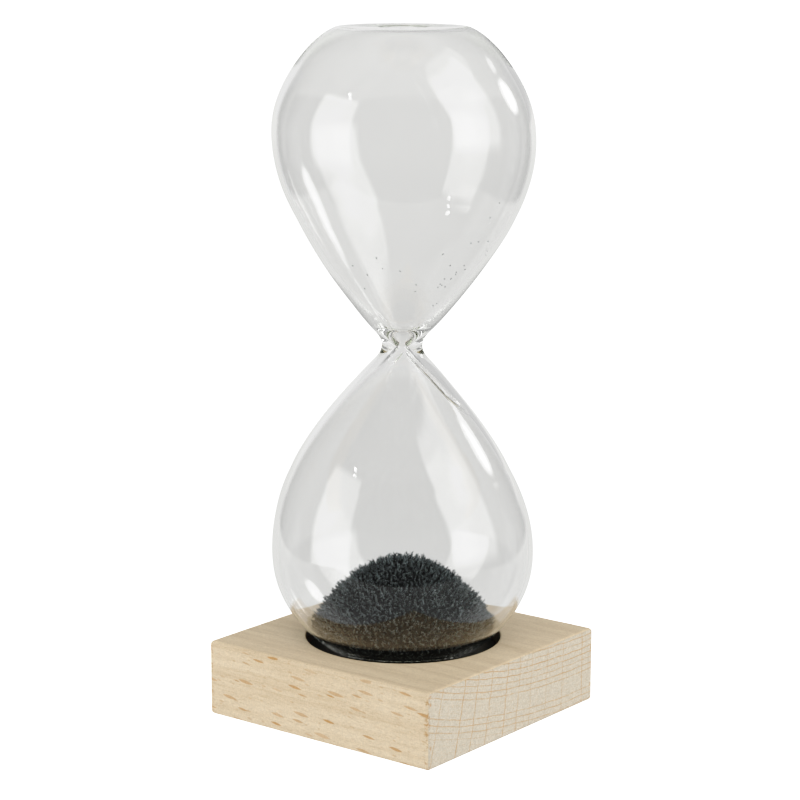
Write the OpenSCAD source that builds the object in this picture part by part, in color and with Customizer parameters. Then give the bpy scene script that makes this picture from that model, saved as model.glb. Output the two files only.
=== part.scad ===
// Magnetic-sand hourglass.
// A blown-glass double bulb, part filled with iron filings, stands loose in a
// round recess of a square beech block. A disc magnet sunk in the block makes
// the filings stand up as a spiky dome.
// The origin is the middle of the block's underside, +Z is up, the wood's
// fibre runs along Y. All sizes are in millimetres.

/* [Base block] */
// Side length of the square block
base_side = 64.2; // [60:0.1:90]
// Thickness of the block
base_thickness = 17.8; // [16:0.2:30]
// Rounding of the four upright corners
corner_round = 0.6; // [0.4:0.1:4]
// Easing along the edges of the top face and the underside
edge_ease = 0.8; // [0.2:0.1:1]
// Diameter of the round recess in the top face
recess_d = 45.6; // [45.4:0.2:56]
// Depth below the top face at which the glass stands
seat_depth = 3.4; // [2:0.1:4]
// Easing round the mouth of the recess
mouth_ease = 0.3; // [0.1:0.1:0.6]

/* [Magnet] */
// Diameter of the disc magnet
magnet_d = 45; // [30:0.5:45]
// Thickness of the disc magnet
magnet_thickness = 8; // [4:0.5:9]
// Rounding of the magnet's edges
magnet_ease = 0.6; // [0.2:0.1:1]
// Thickness of the glue under the magnet
adhesive_thickness = 0.3; // [0.1:0.1:0.6]
// Thickness of the felt disc that the glass stands on
pad_thickness = 1; // [0.5:0.1:1.5]

/* [Glass vessel] */
// Overall length of the glass from flat end to flat end
vessel_length = 145; // [130:0.2:180]
// Widest diameter of the upper bulb
upper_bulb_d = 60.2; // [56:0.2:64]
// Widest diameter of the lower bulb
lower_bulb_d = 61; // [56:0.2:64]
// Distance from a flat end to the widest level of its bulb
widest_level = 24.5; // [22:0.5:28]
// Diameter of the flat that each bulb ends in
flat_end_d = 29.2; // [24:0.2:32]
// Outer diameter of the pinched neck
neck_d = 9.4; // [8:0.2:12]
// Diameter of the passage through the neck
passage_d = 1; // [0.8:0.1:2]
// Thickness of the blown wall
wall = 1.2; // [1:0.1:1.5]
// Thickness of the flat ends
end_wall = 1.5; // [1.2:0.1:2]
// Distance from the neck over which the thick glass thins out
neck_blend = 2.4; // [2:0.2:6]
// Diameter of the filling hole in the upper flat end
fill_hole_d = 4.8; // [3:0.2:8]

/* [Iron filings] */
// Largest diameter of the dome of filings
dome_d = 43.4; // [36:0.2:46]
// Height at which the dome leaves the glass, above the flat end of the vessel
dome_start = 5.2; // [4:0.2:9]
// Height of the free dome
dome_height = 16.8; // [10:0.2:18]
// Number of stray grains clinging in the upper bulb
stray_count = 26; // [1:1:60]
// Length of a stray grain
stray_length = 0.5; // [0.3:0.1:0.8]

/* [Hidden] */
$fn = 96;

// Clearance between the loose glass and the felt it stands on
seat_gap = 0.05;
// Clearance between pieces that lie against each other in one body
touch = 0.02;

pad_top = base_thickness - seat_depth;
magnet_top = pad_top - pad_thickness;
recess_floor = magnet_top - magnet_thickness - adhesive_thickness;
vessel_z = pad_top + seat_gap;
half_length = vessel_length / 2;
flat_r = flat_end_d / 2;
neck_r = neck_d / 2;
passage_r = passage_d / 2;

// ---- The glass outline -------------------------------------------------
// A half outline is a list of [radius, distance from the flat end], from the
// flat end to the middle of the neck.

// Points of a cubic curve, without its first point
function curve(a, b, c, d, n) =
    [for (i = [1:n]) let (t = i / n)
        pow(1 - t, 3) * a + 3 * pow(1 - t, 2) * t * b
        + 3 * (1 - t) * t * t * c + pow(t, 3) * d];

// Unit step towards the neck along a wall that closes in at angle a
function toward(a) = [-sin(a), cos(a)];

// Where the bulb turns into the cone, and where the cone turns into the neck
function cone_top(r) = [0.823 * r, widest_level + 0.398 * (half_length - widest_level)];
function cone_end() = [neck_r + 2.1, half_length - 3.7];
cone_angle = 25;
pinch_angle = 44.5;
span = half_length - widest_level;

// Shoulder, from the edge of a flat at radius f and height z to the widest level
function shoulder(f, z, r, reach, rise) =
    curve([f, z], [f + reach, z], [r, widest_level - rise], [r, widest_level], 16);

// Bulb, cone and pinched neck, from the widest level to the middle of the neck
function taper(r) = concat(
    curve([r, widest_level], [r, widest_level + 0.202 * span],
          cone_top(r) - 0.042 * span * toward(cone_angle), cone_top(r), 12),
    curve(cone_top(r), cone_top(r) + 0.222 * span * toward(cone_angle),
          cone_end() - 0.141 * span * toward(pinch_angle), cone_end(), 12),
    curve(cone_end(), cone_end() + 1.4 * toward(pinch_angle),
          [neck_r, half_length - 1.6], [neck_r, half_length], 6));

function outer_half(r) = concat(
    [[0, 0], [flat_r, 0]],
    shoulder(flat_r, 0, r, 2.6, 15.5),
    taper(r));

// Thickness of the glass at distance d from the middle of the neck
function thickness(d) =
    wall + (neck_r - passage_r - wall) * exp(-pow(d / neck_blend, 1.5));

// Direction of the outline at point i
function along(p, i) =
    i == len(p) - 1 ? [0, 1] :
    let (s = p[i + 1] - p[max(i - 1, 0)]) s / norm(s);

// The taper moved inwards by the thickness of the glass
function inner_taper(r) =
    let (p = concat([[r, widest_level - 1]], taper(r)))
    [for (i = [1:len(p) - 1]) let (s = along(p, i))
        p[i] - thickness(half_length - p[i][1]) * [s[1], -s[0]]];

function inner_half(r) = concat(
    [[0, end_wall], [flat_r - 0.6, end_wall]],
    shoulder(flat_r - 0.6, end_wall, r - wall, 3.2, 14.2),
    [for (q = inner_taper(r)) if (q[1] > widest_level + 0.2) q]);

// The same outline turned end for end, for the upper bulb, from the neck up
function turned(p) =
    [for (i = [len(p) - 1:-1:0]) [p[i][0], vessel_length - p[i][1]]];

function tail(p) = [for (i = [1:len(p) - 1]) p[i]];

lower_r = lower_bulb_d / 2;
upper_r = upper_bulb_d / 2;

// ---- The wooden block --------------------------------------------------
module eased_bar() {
    a = base_side / 2;
    c = edge_ease;
    rotate([90, 0, 0])
        linear_extrude(height = base_side + 2, center = true)
            polygon([[-a + c, 0], [a - c, 0], [a, c], [a, base_thickness - c],
                     [a - c, base_thickness], [-a + c, base_thickness],
                     [-a, base_thickness - c], [-a, c]]);
}

module upright_block() {
    s = base_side;
    r = corner_round;
    linear_extrude(height = base_thickness)
        union() {
            square([s - 2 * r, s], center = true);
            square([s, s - 2 * r], center = true);
            for (x = [-1, 1], y = [-1, 1])
                translate([x * (s / 2 - r), y * (s / 2 - r)]) circle(r);
        }
}

module base_block() {
    color([0.87, 0.78, 0.64])
        difference() {
            intersection() {
                upright_block();
                eased_bar();
                rotate([0, 0, 90]) eased_bar();
            }
            translate([0, 0, recess_floor])
                cylinder(d = recess_d, h = base_thickness);
            translate([0, 0, base_thickness - mouth_ease])
                cylinder(d1 = recess_d, d2 = recess_d + 4 * mouth_ease,
                         h = 2 * mouth_ease);
        }
}

// ---- What lies in the recess -------------------------------------------
module magnet_disc() {
    r = magnet_d / 2;
    e = magnet_ease;
    z0 = recess_floor + adhesive_thickness;
    color([0.16, 0.16, 0.17])
        translate([0, 0, z0])
            rotate_extrude()
                polygon([[0, 0], [r - e, 0], [r, e], [r, magnet_thickness - e],
                         [r - e, magnet_thickness], [0, magnet_thickness]]);
}

module magnet_adhesive() {
    color([0.75, 0.72, 0.6])
        translate([0, 0, recess_floor])
            cylinder(d = magnet_d - 4, h = adhesive_thickness);
}

module recess_pad() {
    color([0.08, 0.08, 0.08])
        translate([0, 0, magnet_top])
            cylinder(d = recess_d - 0.4, h = pad_thickness);
}

// ---- The glass ---------------------------------------------------------
module glass_vessel() {
    color([0.86, 0.9, 0.88, 0.35])
        translate([0, 0, vessel_z])
            difference() {
                rotate_extrude()
                    polygon(concat(
                        outer_half(lower_r),
                        tail(turned(outer_half(upper_r))),
                        [for (i = [0:len(inner_half(upper_r)) - 1])
                            [inner_half(upper_r)[i][0],
                             vessel_length - inner_half(upper_r)[i][1]]],
                        [for (i = [len(inner_half(lower_r)) - 2:-1:0])
                            inner_half(lower_r)[i]]));
                translate([0, 0, vessel_length - end_wall - 1])
                    cylinder(d = fill_hole_d, h = end_wall + 2);
            }
}

// Melted bead that closes the filling hole: flush plug with a shallow dimple
// on the outside and a rounded drop on the inside
module fill_seal() {
    r = fill_hole_d / 2 - touch;
    t = end_wall;
    color([0.84, 0.9, 0.86, 0.5])
        translate([0, 0, vessel_z + vessel_length])
            rotate_extrude()
                polygon(concat(
                    [for (i = [0:8]) [r * i / 8, -0.35 * pow(cos(90 * i / 8), 2)]],
                    [[r, -t - 0.1]],
                    [for (i = [1:8]) [r * cos(90 * i / 8), -t - 0.1 - 0.7 * sin(90 * i / 8)]]));
}

// ---- The filings -------------------------------------------------------
// Radius inside the lower bulb at height u above the flat end
inner_levels = [for (q = tail(inner_half(lower_r))) [q[1], q[0]]];
function inside(u) = lookup(u, inner_levels);

// Radius of the free dome at height u above the flat end
function dome(u) =
    u <= dome_start ? dome_d / 2 :
    dome_d / 2 * pow(1 - pow(min(1, (u - dome_start) / dome_height), 1.2), 0.55);

pile_floor = end_wall + touch;
pile_top = dome_start + dome_height;

module iron_filings() {
    n = 30;
    color([0.16, 0.17, 0.18])
        translate([0, 0, vessel_z])
            rotate_extrude()
                polygon(concat(
                    [[0, pile_floor]],
                    [for (i = [0:n - 1]) let (u = pile_floor + (pile_top - pile_floor) * sin(90 * i / n))
                        [min(inside(u) - 0.15, dome(u)), u]],
                    [[0, pile_top]]));
}

// Stray grains cling to the inside of the upper bulb's cone, most of them on
// one side
function part_of(x) = x - floor(x);
upper_levels = [for (q = tail(inner_half(upper_r))) [q[1], q[0]]];

module stray_filings() {
    color([0.15, 0.15, 0.16])
        for (i = [0:1:stray_count - 1]) {
            level = 38 + 20 * part_of(0.382 * i + 0.2);
            r = lookup(level, upper_levels);
            angle = -100 + 120 * pow(part_of(0.618 * i), 0.7);
            rotate([0, 0, angle])
                translate([r - 0.25, 0, vessel_z + vessel_length - level])
                    rotate([35 * (i % 5), 35, 40 * (i % 4)])
                        cube([0.16, stray_length, 0.2], center = true);
        }
}

base_block();
magnet_disc();
magnet_adhesive();
recess_pad();
glass_vessel();
fill_seal();
iron_filings();
stray_filings();
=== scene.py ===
"""Looks of the magnetic-sand hourglass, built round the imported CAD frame.

Lengths in this file are millimetres unless a name says otherwise; every mesh
is scaled to metres when it is made. Places and sizes come from the frame.
"""

import math

import bpy
import numpy as np
from mathutils import Matrix, Vector


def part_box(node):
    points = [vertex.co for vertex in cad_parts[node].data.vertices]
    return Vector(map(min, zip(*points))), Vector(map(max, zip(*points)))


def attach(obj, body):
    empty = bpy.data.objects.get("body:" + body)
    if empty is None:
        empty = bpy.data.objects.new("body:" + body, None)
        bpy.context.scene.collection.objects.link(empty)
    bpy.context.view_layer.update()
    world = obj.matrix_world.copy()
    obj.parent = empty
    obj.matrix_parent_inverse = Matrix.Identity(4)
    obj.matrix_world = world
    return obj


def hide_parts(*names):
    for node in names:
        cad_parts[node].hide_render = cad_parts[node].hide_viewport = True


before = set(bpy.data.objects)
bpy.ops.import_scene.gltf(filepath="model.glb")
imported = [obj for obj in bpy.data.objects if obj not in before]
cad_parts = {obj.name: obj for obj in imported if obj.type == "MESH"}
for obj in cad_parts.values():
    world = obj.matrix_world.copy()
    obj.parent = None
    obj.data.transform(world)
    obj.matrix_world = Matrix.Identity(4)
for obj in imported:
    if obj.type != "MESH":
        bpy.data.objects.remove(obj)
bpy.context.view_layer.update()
MM = 0.001


# --------------------------------------------------------------------------
# Sizes, read from the frame
# --------------------------------------------------------------------------
def box_mm(node):
    lo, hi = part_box(node)
    return np.array(lo) / MM, np.array(hi) / MM


block_lo, block_hi = box_mm("base_block")
magnet_lo, magnet_hi = box_mm("magnet_disc")
glue_lo, glue_hi = box_mm("magnet_adhesive")
pad_lo, pad_hi = box_mm("recess_pad")
glass_lo, glass_hi = box_mm("glass_vessel")
seal_lo, seal_hi = box_mm("fill_seal")
pile_lo, pile_hi = box_mm("iron_filings")

BLOCK_A = block_hi[0]  # half the block's side
BLOCK_TOP = block_hi[2]
PAD_R = pad_hi[0]
RECESS_R = PAD_R + 0.2
RECESS_FLOOR = glue_lo[2]
VESSEL_Z = glass_lo[2]
VESSEL_L = glass_hi[2] - glass_lo[2]
HALF_L = VESSEL_L / 2
LOWER_R = glass_hi[0]
UPPER_R = LOWER_R - 0.4
FLAT_R = 14.6
WIDEST = 24.5
NECK_R = 4.7
PASSAGE_R = 0.9
WALL = 1.2
END_WALL, TOP_WALL = 1.1, 0.55
NECK_Z = VESSEL_Z + HALF_L

# --------------------------------------------------------------------------
# The camera comes first: its frame also places the lights
# --------------------------------------------------------------------------
EYE = Vector((-0.4440, -0.3452, 0.1882))
PITCH = math.radians(11.48)
ROLL = 0.0028
LOOK = Vector((math.cos(PITCH) * 0.7885, math.cos(PITCH) * 0.6150, -math.sin(PITCH)))
LOOK.normalize()
CAM_RIGHT = LOOK.cross(Vector((0, 0, 1))).normalized()
CAM_UP = CAM_RIGHT.cross(LOOK)
CAM_BACK = Vector((-LOOK.x, -LOOK.y, 0)).normalized()


def make_camera():
    data = bpy.data.cameras.new("camera")
    data.lens = 111.87
    data.sensor_width = 36
    data.clip_start, data.clip_end = 0.01, 200
    cam = bpy.data.objects.new("camera", data)
    bpy.context.scene.collection.objects.link(cam)
    r = CAM_RIGHT + ROLL * CAM_UP
    u = CAM_UP - ROLL * CAM_RIGHT
    m = Matrix.Identity(4)
    for i in range(3):
        m[i][0], m[i][1], m[i][2], m[i][3] = r[i], u[i], -LOOK[i], EYE[i]
    cam.matrix_world = m
    bpy.context.scene.camera = cam


make_camera()


# --------------------------------------------------------------------------
# Small helpers
# --------------------------------------------------------------------------
def smooth(t):
    t = np.clip(t, 0, 1)
    return t * t * (3 - 2 * t)


def make_mesh(name, verts, faces, body, replaces=(), material=None, smooth_shade=True):
    """A mesh object from points in millimetres, riding on a body."""
    mesh = bpy.data.meshes.new(name)
    mesh.from_pydata((np.asarray(verts, float) * MM).tolist(), [], faces)
    mesh.validate()
    if smooth_shade:
        mesh.shade_smooth()
    mesh.update()
    obj = bpy.data.objects.new(name, mesh)
    bpy.context.scene.collection.objects.link(obj)
    if material is not None:
        mesh.materials.append(material)
    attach(obj, body)
    if replaces:
        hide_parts(*replaces)
    return obj


def lathe(rows, segs, move=None, first=0):
    """Rings of points round Z from rows of (r, z). A row of r 0 is a pole. move(points, r, z) may shift them."""
    verts, faces, starts = [], [], []
    angle = np.arange(segs) * 2 * math.pi / segs
    for r, z in rows:
        starts.append(first + len(verts))
        if r < 1e-6:
            ring = np.array([[0.0, 0.0, z]])
        else:
            ring = np.column_stack([r * np.cos(angle), r * np.sin(angle), np.full(segs, z)])
        if move is not None:
            ring = move(ring, r, z)
        verts.extend(ring.tolist())
    for k in range(len(rows) - 1):
        a, b = starts[k], starts[k + 1]
        pole_a, pole_b = rows[k][0] < 1e-6, rows[k + 1][0] < 1e-6
        for i in range(segs):
            j = (i + 1) % segs
            if pole_a and pole_b:
                continue
            if pole_a:
                faces.append((a, b + j, b + i))
            elif pole_b:
                faces.append((a + i, a + j, b))
            else:
                faces.append((a + i, a + j, b + j, b + i))
    return verts, faces


class Graph:
    """Short ways to write a node graph."""

    def __init__(self, tree):
        self.tree = tree

    def put(self, socket, value):
        if isinstance(value, bpy.types.NodeSocket):
            self.tree.links.new(value, socket)
        elif value is not None:
            socket.default_value = value

    def new(self, kind, ins=None, **props):
        node = self.tree.nodes.new(kind)
        for key, value in props.items():
            setattr(node, key, value)
        for key, value in (ins or {}).items():
            self.put(node.inputs[key], value)
        return node

    def m(self, op, a, b=None, c=None, clamp=False):
        node = self.new("ShaderNodeMath", {0: a, 1: b, 2: c}, operation=op, use_clamp=clamp)
        return node.outputs[0]

    def add(self, a, b):
        return self.m("ADD", a, b)

    def sub(self, a, b):
        return self.m("SUBTRACT", a, b)

    def mul(self, a, b):
        return self.m("MULTIPLY", a, b)

    def div(self, a, b):
        return self.m("DIVIDE", a, b)

    def ramp(self, v, lo, hi, to_lo=0.0, to_hi=1.0, soft=True):
        node = self.new(
            "ShaderNodeMapRange",
            {"Value": v, "From Min": lo, "From Max": hi, "To Min": to_lo, "To Max": to_hi},
            interpolation_type="SMOOTHSTEP" if soft else "LINEAR",
            clamp=True,
        )
        return node.outputs["Result"]

    def band(self, v, lo, hi, edge_lo, edge_hi=None):
        """1 between lo and hi, falling to 0 over the edges' widths."""
        edge_hi = edge_lo if edge_hi is None else edge_hi
        up = self.ramp(v, lo - edge_lo / 2, lo + edge_lo / 2)
        down = self.ramp(v, hi - edge_hi / 2, hi + edge_hi / 2, 1.0, 0.0)
        return self.mul(up, down)

    def mix(self, f, a, b, mode="MIX"):
        node = self.tree.nodes.new("ShaderNodeMix")
        node.data_type, node.blend_type = "RGBA", mode
        self.put(node.inputs[0], f)
        for socket, value in ((node.inputs[6], a), (node.inputs[7], b)):
            if not isinstance(value, bpy.types.NodeSocket):
                value = (*value, 1.0) if len(value) == 3 else value
            self.put(socket, value)
        return node.outputs[2]

    def mixf(self, f, a, b):
        node = self.tree.nodes.new("ShaderNodeMix")
        node.data_type = "FLOAT"
        for k, value in ((0, f), (2, a), (3, b)):
            self.put(node.inputs[k], value)
        return node.outputs[0]

    def xyz(self, vector):
        node = self.new("ShaderNodeSeparateXYZ", {0: vector})
        return node.outputs[0], node.outputs[1], node.outputs[2]

    def vec(self, x, y, z):
        return self.new("ShaderNodeCombineXYZ", {0: x, 1: y, 2: z}).outputs[0]

    def dot(self, vector, axis):
        return self.new("ShaderNodeVectorMath", {0: vector, 1: tuple(axis)}, operation="DOT_PRODUCT").outputs["Value"]

    def scaled(self, vector, by):
        """vector times a number, or by components."""
        if isinstance(by, (int, float)):
            by = (by, by, by)
        return self.new("ShaderNodeVectorMath", {0: vector, 1: by}, operation="MULTIPLY").outputs[0]

    def noise(self, vector, scale=1.0, detail=2.0, rough=0.5, distort=0.0, colour=False):
        node = self.new(
            "ShaderNodeTexNoise",
            {"Vector": vector, "Scale": scale, "Detail": detail, "Roughness": rough, "Distortion": distort},
        )
        return node.outputs["Color" if colour else "Fac"]

    def voronoi(self, vector, scale=1.0, feature="F1", randomness=1.0):
        return self.new(
            "ShaderNodeTexVoronoi", {"Vector": vector, "Scale": scale, "Randomness": randomness}, feature=feature
        )

    def bump(self, height, strength, distance, normal=None):
        node = self.new("ShaderNodeBump", {"Height": height, "Strength": strength, "Distance": distance})
        if normal is not None:
            self.put(node.inputs["Normal"], normal)
        return node.outputs[0]


def material(name):
    mat = bpy.data.materials.new(name)
    mat.use_nodes = True
    mat.node_tree.nodes.clear()
    g = Graph(mat.node_tree)
    out = g.new("ShaderNodeOutputMaterial")
    shader = g.new("ShaderNodeBsdfPrincipled")
    g.put(out.inputs["Surface"], shader.outputs[0])
    coords = g.new("ShaderNodeTexCoord")
    place = g.scaled(coords.outputs["Object"], 1 / MM)  # millimetres
    return mat, g, out, shader, place, coords


# --------------------------------------------------------------------------
# Materials
# --------------------------------------------------------------------------
SIDE_LIGHT, SIDE_DARK = (0.665, 0.562, 0.408), (0.60, 0.487, 0.333)
TOP_LIGHT, TOP_DARK = (0.675, 0.562, 0.392), (0.615, 0.498, 0.338)
END_LIGHT, END_DARK = (0.535, 0.487, 0.402), (0.457, 0.41, 0.326)


def lens(g, cells, long_half, high_half, soft=0.25):
    """Lens-shaped flecks, one in each cell of a plane of cells: 1 inside, and the cell's three random numbers."""
    node = g.new("ShaderNodeTexVoronoi", {"Vector": cells, "Scale": 1.0, "Randomness": 0.85}, voronoi_dimensions="2D")
    offset = g.new("ShaderNodeVectorMath", {0: cells, 1: node.outputs["Position"]}, operation="SUBTRACT").outputs[0]
    across, along, _ = g.xyz(offset)
    r1, r2, r3 = g.xyz(node.outputs["Color"])
    size = g.add(0.45, g.mul(r1, 0.75))
    t = g.div(along, g.mul(size, long_half))
    room = g.mul(g.sub(1.0, g.mul(t, t)), g.mul(size, high_half))
    inside_it = g.ramp(g.sub(room, g.m("ABSOLUTE", across)), -high_half * soft, high_half * soft)
    return inside_it, r1, r2, r3


def wood_material():
    """Beech, cut from a plank whose pith lies above the block, parallel to Y."""
    mat, g, _, shader, place, coords = material("beech")
    x, y, z = g.xyz(place)
    nx, ny, nz = g.xyz(coords.outputs["Normal"])
    end = g.ramp(g.m("ABSOLUTE", ny), 0.62, 0.8)  # 1 on the end grain
    top = g.ramp(g.m("ABSOLUTE", nz), 0.5, 0.9)
    # Distance from the pith, and along the ring
    wander = g.sub(g.noise(g.scaled(place, (0.05, 0.012, 0.05)), 1.0, 2.0, 0.5), 0.5)
    jitter = g.sub(g.noise(g.scaled(place, (0.28, 0.10, 0.28)), 1.0, 3.0, 0.65), 0.5)
    px = g.sub(x, 27.0)
    pz = g.sub(209.0, z)
    rho = g.m("SQRT", g.add(g.mul(px, px), g.mul(pz, pz)))
    rho = g.add(rho, g.add(g.mul(wander, 1.2), g.mul(jitter, 0.55)))
    arc = g.mul(g.m("ARCTAN2", px, pz), 200.0)
    # Growth rings: thin darker latewood lines, some strong and some faint
    phase = g.div(g.sub(rho, 191.6), 1.47)
    in_ring = g.m("FRACT", phase)
    ring_no = g.m("FLOOR", phase)
    ring_rand = g.new("ShaderNodeTexWhiteNoise", {"W": ring_no}, noise_dimensions="1D").outputs["Value"]
    line = g.band(in_ring, 0.40, 0.55, 0.10, 0.22)
    strong = g.m("MAXIMUM", g.ramp(rho, 202.0, 200.6), g.mul(g.band(rho, 205.3, 209.9, 0.6), 0.85))
    strong = g.add(0.16, g.mul(strong, 0.84))
    strong = g.mul(strong, g.add(0.72, g.mul(ring_rand, 0.4)))
    broken = g.ramp(g.noise(g.scaled(place, (0.55, 0.18, 1.1)), 1.0, 3.0, 0.65), 0.30, 0.56)
    rings = g.mul(g.mul(line, strong), g.add(0.35, g.mul(broken, 0.65)))
    # Fine dashes between the rings
    fine_phase = g.m("FRACT", g.div(g.add(rho, g.mul(jitter, 0.9)), 0.47))
    fine = g.mul(
        g.band(fine_phase, 0.35, 0.65, 0.3),
        g.ramp(g.noise(g.scaled(place, (1.7, 0.3, 3.5)), 1.0, 2.0, 0.6), 0.50, 0.66),
    )
    # Medullary rays: lens-shaped flecks on the side, thin lines on the end grain
    slope = g.add(arc, g.mul(y, 0.028))
    fleck, r1, r2, r3 = lens(g, g.vec(g.div(slope, 0.74), g.div(y, 9.6), 0.0), 0.215, 0.125)
    fleck = g.mul(fleck, g.ramp(r2, 0.10, 0.30, 0.0, 1.0))
    fleck_tone = g.add(0.45, g.mul(r3, 0.55))
    small, _, q2, _ = lens(g, g.vec(g.div(slope, 0.40), g.div(y, 4.3), 0.0), 0.16, 0.14, 0.6)
    small = g.mul(small, g.ramp(q2, 0.35, 0.8, 0.0, 1.0))
    wavy = g.add(arc, g.mul(g.sub(g.noise(g.scaled(place, (0.2, 0.2, 0.35)), 1.0, 2.0, 0.5), 0.5), 0.8))

    def ray_lines(pitch, half, shift):
        node = g.new(
            "ShaderNodeTexVoronoi", {"W": g.add(g.div(wavy, pitch), shift), "Scale": 1.0, "Randomness": 0.8}, voronoi_dimensions="1D"
        )
        tone = g.xyz(node.outputs["Color"])[0]
        return g.mul(g.ramp(node.outputs["Distance"], half / pitch * 1.9, half / pitch * 0.5), g.add(0.35, g.mul(tone, 0.65)))

    ray_break = g.ramp(g.noise(g.scaled(place, (0.5, 0.1, 0.45)), 1.0, 3.0, 0.6), 0.34, 0.52)
    rays = g.mul(ray_lines(6.1, 0.13, 0.35), g.add(0.45, g.mul(ray_break, 0.55)))
    faint_rays = g.mul(ray_lines(1.45, 0.08, 0.1), g.ramp(g.noise(g.scaled(place, (0.7, 0.1, 0.35)), 1.0, 2.0, 0.6), 0.46, 0.64))
    # Soft streaks, fibres and pores along the fibre
    streak = g.noise(g.scaled(place, (0.42, 0.028, 0.75)), 1.0, 3.0, 0.6)
    fibre = g.noise(g.scaled(place, (4.6, 0.42, 4.6)), 1.0, 3.0, 0.7)
    speck = g.noise(place, 2.6, 3.0, 0.75)
    pores = g.voronoi(g.scaled(place, (3.4, 0.42, 3.4)))
    pore_in = g.mul(
        g.ramp(pores.outputs["Distance"], 0.30, 0.12),
        g.ramp(g.xyz(pores.outputs["Color"])[0], 0.35, 0.9),
    )
    # Colours
    side_col = g.mix(g.ramp(streak, 0.32, 0.68), SIDE_LIGHT, SIDE_DARK)
    side_col = g.mix(g.mul(g.ramp(fibre, 0.44, 0.72), 0.30), side_col, (0.43, 0.31, 0.17))
    side_col = g.mix(g.mul(pore_in, 0.30), side_col, (0.36, 0.24, 0.12))
    side_col = g.mix(g.mul(rings, 0.16), side_col, (0.42, 0.28, 0.14))
    side_col = g.mix(g.mul(small, 0.38), side_col, (0.45, 0.26, 0.105))
    side_col = g.mix(g.mul(fleck, g.mul(fleck_tone, 0.95)), side_col, (0.46, 0.255, 0.095))
    top_col = g.mix(g.ramp(streak, 0.34, 0.66), TOP_LIGHT, TOP_DARK)
    top_col = g.mix(g.mul(g.ramp(fibre, 0.42, 0.70), 0.24), top_col, (0.42, 0.31, 0.18))
    top_col = g.mix(g.mul(pore_in, 0.28), top_col, (0.36, 0.25, 0.14))
    top_col = g.mix(g.mul(rings, 0.24), top_col, (0.42, 0.30, 0.165))
    long_col = g.mix(top, side_col, top_col)
    end_noise = g.noise(g.scaled(place, (2.2, 2.2, 2.2)), 1.0, 4.0, 0.75)
    end_col = g.mix(g.ramp(end_noise, 0.36, 0.64), END_LIGHT, END_DARK)
    vessels = g.voronoi(g.scaled(place, (4.2, 1.5, 4.2)))
    end_col = g.mix(g.mul(g.ramp(vessels.outputs["Distance"], 0.34, 0.12), 0.30), end_col, (0.78, 0.745, 0.68))
    end_col = g.mix(g.mul(fine, 0.72), end_col, (0.45, 0.325, 0.19))
    end_col = g.mix(g.mul(faint_rays, 0.42), end_col, (0.47, 0.33, 0.19))
    end_col = g.mix(g.mul(rings, 0.95), end_col, (0.44, 0.285, 0.135))
    end_col = g.mix(g.mul(rays, 0.85), end_col, (0.43, 0.27, 0.125))
    colour = g.mix(end, long_col, end_col)
    # Bruised fibres down the upright edges
    edge = g.mul(g.m("ABSOLUTE", x), g.m("ABSOLUTE", y))
    near_edge = g.mul(g.ramp(edge, (BLOCK_A - 0.7) ** 2, (BLOCK_A - 0.25) ** 2), g.sub(1.0, top))
    bruise = g.ramp(g.noise(g.scaled(place, (0.5, 0.5, 0.62)), 1.0, 3.0, 0.7), 0.52, 0.64)
    colour = g.mix(g.mul(g.mul(near_edge, bruise), 0.8), colour, (0.42, 0.235, 0.09))
    # Fine unevenness of tone all over
    tone = g.ramp(speck, 0.28, 0.72, 0.90, 1.09)
    colour = g.mix(1.0, colour, g.vec(tone, tone, tone), "MULTIPLY")
    g.put(shader.inputs["Base Color"], colour)
    rough = g.add(0.58, g.mul(g.sub(fibre, 0.5), 0.25))
    g.put(shader.inputs["Roughness"], rough)
    shader.inputs["Specular IOR Level"].default_value = 0.25
    # Relief: fibre, pores and rings
    height = g.add(g.mul(fibre, 0.6), g.mul(pore_in, -0.8))
    height = g.sub(height, g.mul(rings, 0.5))
    height = g.sub(height, g.mul(g.m("MAXIMUM", fleck, small), 0.35))
    height = g.add(height, g.mul(end, g.mul(end_noise, 1.2)))
    g.put(shader.inputs["Normal"], g.bump(height, 0.45, 0.06 * MM))
    return mat


def felt_material():
    mat, g, _, shader, place, _ = material("felt")
    fuzz = g.noise(place, 3.2, 4.0, 0.7)
    strands = g.noise(g.scaled(place, (2.0, 9.0, 4.0)), 1.0, 2.0, 0.6, 1.5)
    shade = g.ramp(g.add(g.mul(fuzz, 0.6), g.mul(strands, 0.4)), 0.3, 0.7)
    g.put(shader.inputs["Base Color"], g.mix(shade, (0.042, 0.040, 0.031), (0.105, 0.098, 0.074)))
    g.put(shader.inputs["Roughness"], g.ramp(fuzz, 0.2, 0.8, 0.85, 1.0))
    shader.inputs["Sheen Weight"].default_value = 0.15
    shader.inputs["Sheen Roughness"].default_value = 0.5
    shader.inputs["Specular IOR Level"].default_value = 0.15
    g.put(shader.inputs["Normal"], g.bump(g.add(fuzz, strands), 0.8, 0.12 * MM))
    return mat


def ferrite_material():
    mat, g, _, shader, place, _ = material("ferrite")
    grain = g.noise(place, 2.5, 5.0, 0.7)
    pits = g.voronoi(place, 1.6)
    g.put(shader.inputs["Base Color"], g.mix(g.ramp(grain, 0.3, 0.7), (0.018, 0.018, 0.02), (0.05, 0.05, 0.054)))
    g.put(shader.inputs["Roughness"], g.ramp(grain, 0.25, 0.75, 0.45, 0.7))
    shader.inputs["Metallic"].default_value = 0.3
    g.put(shader.inputs["Normal"], g.bump(g.sub(grain, g.mul(g.ramp(pits.outputs["Distance"], 0.12, 0.0), 0.6)), 0.4, 0.08 * MM))
    return mat


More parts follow.
